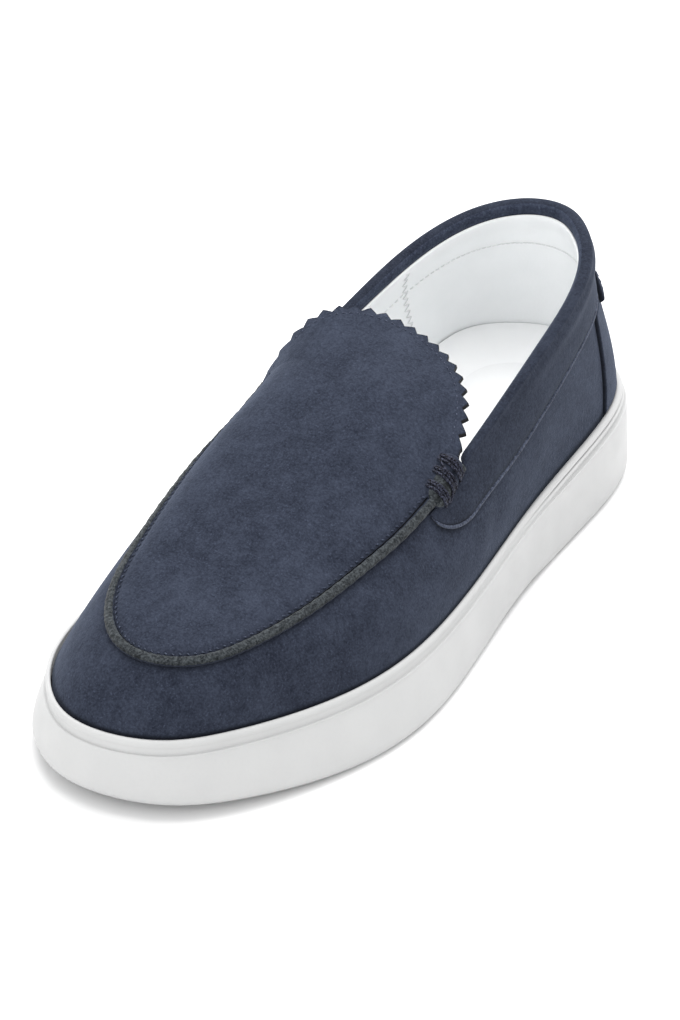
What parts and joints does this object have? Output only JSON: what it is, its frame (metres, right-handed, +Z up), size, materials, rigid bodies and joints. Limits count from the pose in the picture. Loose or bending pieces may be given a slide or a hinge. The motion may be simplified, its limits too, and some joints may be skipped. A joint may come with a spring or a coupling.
{
  "type": "loafer",
  "caption": "Left slip-on loafer with a moccasin-seam apron, a pinked tongue, a folded collar band and a thick cup sole.",
  "frame": {"origin": "on the ground under the middle of the sole's bounding rectangle, 150 mm from the back of the heel", "axes": "+Z up, -Y towards the toe, +X towards the lateral (outer) side of the left foot"},
  "size_m": [0.1202, 0.3, 0.1005],
  "materials": {
    "sole": "smooth matt white rubber",
    "insole": "off-white lining leather",
    "upper": "napped navy suede outside, off-white lining inside",
    "apron": "napped navy suede",
    "moc_seam": "rolled suede with a dark cut edge",
    "collar_band": "napped navy suede",
    "heel_counter": "napped navy suede",
    "heel_tab": "napped navy suede"
  },
  "bodies": {
    "root": {"sole": "sole", "insole": "insole", "upper": "upper", "apron": "apron", "moc_seam": "moc_seam", "collar_band": "collar_band", "heel_counter": "heel_counter", "heel_tab": "heel_tab"}
  },
  "joints": []
}
